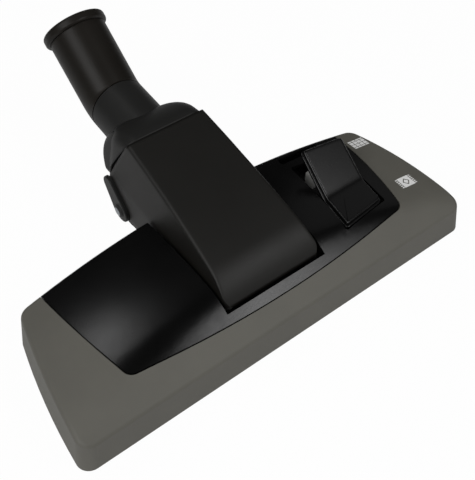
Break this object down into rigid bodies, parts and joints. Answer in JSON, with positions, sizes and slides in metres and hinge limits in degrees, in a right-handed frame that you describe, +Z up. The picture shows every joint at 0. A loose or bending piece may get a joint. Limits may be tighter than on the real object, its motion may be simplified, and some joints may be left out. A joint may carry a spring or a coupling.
{
  "type": "vacuum floor brush head",
  "caption": "Floor head for a vacuum cleaner: long low housing, black centre panel, tilting hooded neck, bent swivel tube, rocker pedal that lowers a bristle frame, steel sole, rear wheels.",
  "frame": {"origin": "on the floor, under the middle of the neck's tilt axis, on the sole's underside", "axes": "+X along the head towards the pedal, +Y to the rear where the tube is, +Z up from the floor"},
  "size_m": [0.2796, 0.2491, 0.1005],
  "materials": {
    "grey_housing": "fine grained matt",
    "black_panel": "fine grained satin",
    "black_chassis": "satin",
    "sole_steel": "brushed",
    "lint_velour": "velour",
    "screw_steel": "zinc plated",
    "gloss_black": "glossy",
    "pin_steel": "polished",
    "carrier_grey": "satin",
    "bristle_black": "bristle",
    "charcoal_hood": "fine grained matt",
    "charcoal_collar": "fine grained satin",
    "tyre_rubber": "matt",
    "tube_black": "satin"
  },
  "bodies": {
    "base": {"housing_cover": "grey_housing", "centre_panel": "black_panel", "base_frame": "black_chassis", "suction_channel_left": "black_chassis", "suction_channel_right": "black_chassis", "sole_plate": "sole_steel", "front_lint_strip": "lint_velour", "rear_lint_strip": "lint_velour", "base_screws": "screw_steel", "hinge_cap_left": "black_chassis", "hinge_cap_right": "black_chassis", "pedal_pin": "pin_steel", "detent_spring": "pin_steel"},
    "neck": {"neck_hood": "charcoal_hood", "neck_duct": "black_chassis", "neck_elbow": "charcoal_collar", "neck_screws": "screw_steel", "axle_plate_left": "charcoal_collar", "axle_plate_right": "charcoal_collar", "wheel_pin_left": "pin_steel", "wheel_pin_right": "pin_steel"},
    "tube": {"swivel_tube": "tube_black", "swivel_ring": "black_chassis", "tube_seal": "tyre_rubber"},
    "pedal": {"pedal": "gloss_black"},
    "brush": {"brush_carrier": "carrier_grey", "front_bristles": "bristle_black", "rear_bristles": "bristle_black"},
    "wheel_left": {"rear_wheel_left": "black_chassis", "rear_tyre_left": "tyre_rubber"},
    "wheel_right": {"rear_wheel_right": "black_chassis", "rear_tyre_right": "tyre_rubber"}
  },
  "joints": [
    {"name": "neck_tilt", "type": "hinge", "parent": "base", "child": "neck", "pos_m": [0, 0, 0.015], "axis": [1, 0, 0], "range_deg": [0, 50]},
    {"name": "tube_swivel", "type": "hinge", "parent": "neck", "child": "tube", "pos_m": [0, 0.1337, 0.0501], "axis": [0, 0.9962, 0.0872], "continuous": true},
    {"name": "pedal_rock", "type": "hinge", "parent": "base", "child": "pedal", "pos_m": [0.07575, -0.003, 0.029], "axis": [-1, 0, 0], "range_deg": [0, 22]},
    {"name": "brush_lift", "type": "slide", "parent": "base", "child": "brush", "axis": [0, 0, -1], "range_m": [0, 0.0056]},
    {"name": "wheel_left_spin", "type": "hinge", "parent": "neck", "child": "wheel_left", "pos_m": [-0.0261, 0.082, 0.017], "axis": [1, 0, 0], "continuous": true},
    {"name": "wheel_right_spin", "type": "hinge", "parent": "neck", "child": "wheel_right", "pos_m": [0.0261, 0.082, 0.017], "axis": [1, 0, 0], "continuous": true}
  ],
  "couplings": [
    {"joint": "pedal_rock", "follows": "brush_lift", "rad_per_m": 67.5}
  ]
}
